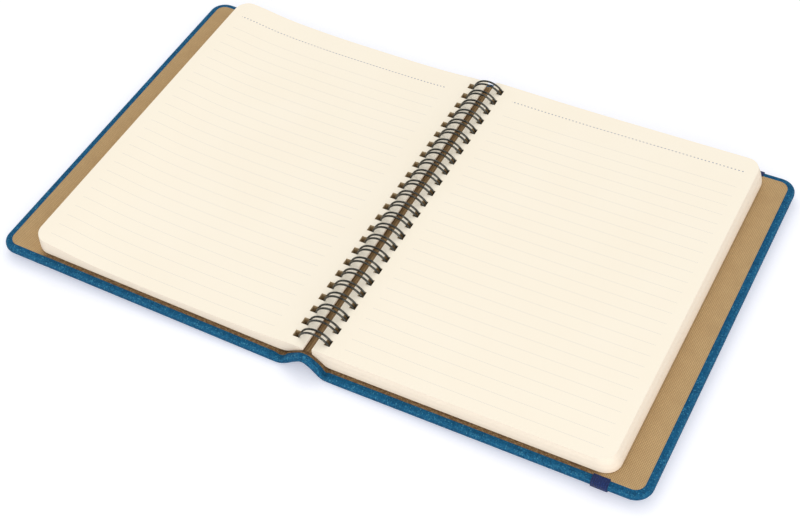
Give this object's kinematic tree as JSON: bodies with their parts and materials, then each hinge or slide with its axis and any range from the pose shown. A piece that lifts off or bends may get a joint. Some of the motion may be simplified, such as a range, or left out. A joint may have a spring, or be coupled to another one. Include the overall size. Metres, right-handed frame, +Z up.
{
  "type": "spiral notebook",
  "caption": "Open hard-cover notebook with cloth covers, two page stacks on a twin-loop wire and an elastic closure band.",
  "frame": {"origin": "middle of the open book's footprint, on the table", "axes": "+X across the open book towards the back cover's fore-edge, +Y along the spine towards the head, +Z up"},
  "size_m": [0.3576, 0.218, 0.0196],
  "materials": {
    "cover_cloth": "woven blue cloth, heathered",
    "lining_card": "tan paper with a fine laid weave, matt",
    "greyboard": "matt pressed board",
    "paper": "cream paper, ruled",
    "wire": "dark gunmetal coating, glossy",
    "elastic": "navy woven elastic"
  },
  "bodies": {
    "spine": {"spine_cloth": "cover_cloth", "spine_strip": "greyboard", "spine_lining": "lining_card", "binding_wire": "wire"},
    "front_cover": {"front_board": "greyboard", "front_cloth": "cover_cloth", "front_lining": "lining_card"},
    "back_cover": {"back_board": "greyboard", "back_cloth": "cover_cloth", "back_lining": "lining_card", "elastic_band": "elastic"},
    "left_stack": {"left_pages": "paper"},
    "right_stack": {"right_pages": "paper"}
  },
  "joints": [
    {"name": "front_cover_hinge", "type": "hinge", "parent": "spine", "child": "front_cover", "pos_m": [-0.014, 0, 0.0042], "axis": [0, 1, 0], "range_deg": [0, 33]},
    {"name": "back_cover_hinge", "type": "hinge", "parent": "spine", "child": "back_cover", "pos_m": [0.014, 0, 0.0042], "axis": [0, -1, 0], "range_deg": [0, 33]},
    {"name": "left_pages_turn", "type": "hinge", "parent": "spine", "child": "left_stack", "pos_m": [0.0043, 0, 0.00985], "axis": [0, 1, 0], "range_deg": [0, 33]},
    {"name": "right_pages_turn", "type": "hinge", "parent": "spine", "child": "right_stack", "pos_m": [0.0043, 0, 0.00985], "axis": [0, -1, 0], "range_deg": [0, 33]}
  ],
  "couplings": [
    {"joint": "left_pages_turn", "follows": "front_cover_hinge", "ratio": 1},
    {"joint": "right_pages_turn", "follows": "back_cover_hinge", "ratio": 1}
  ]
}
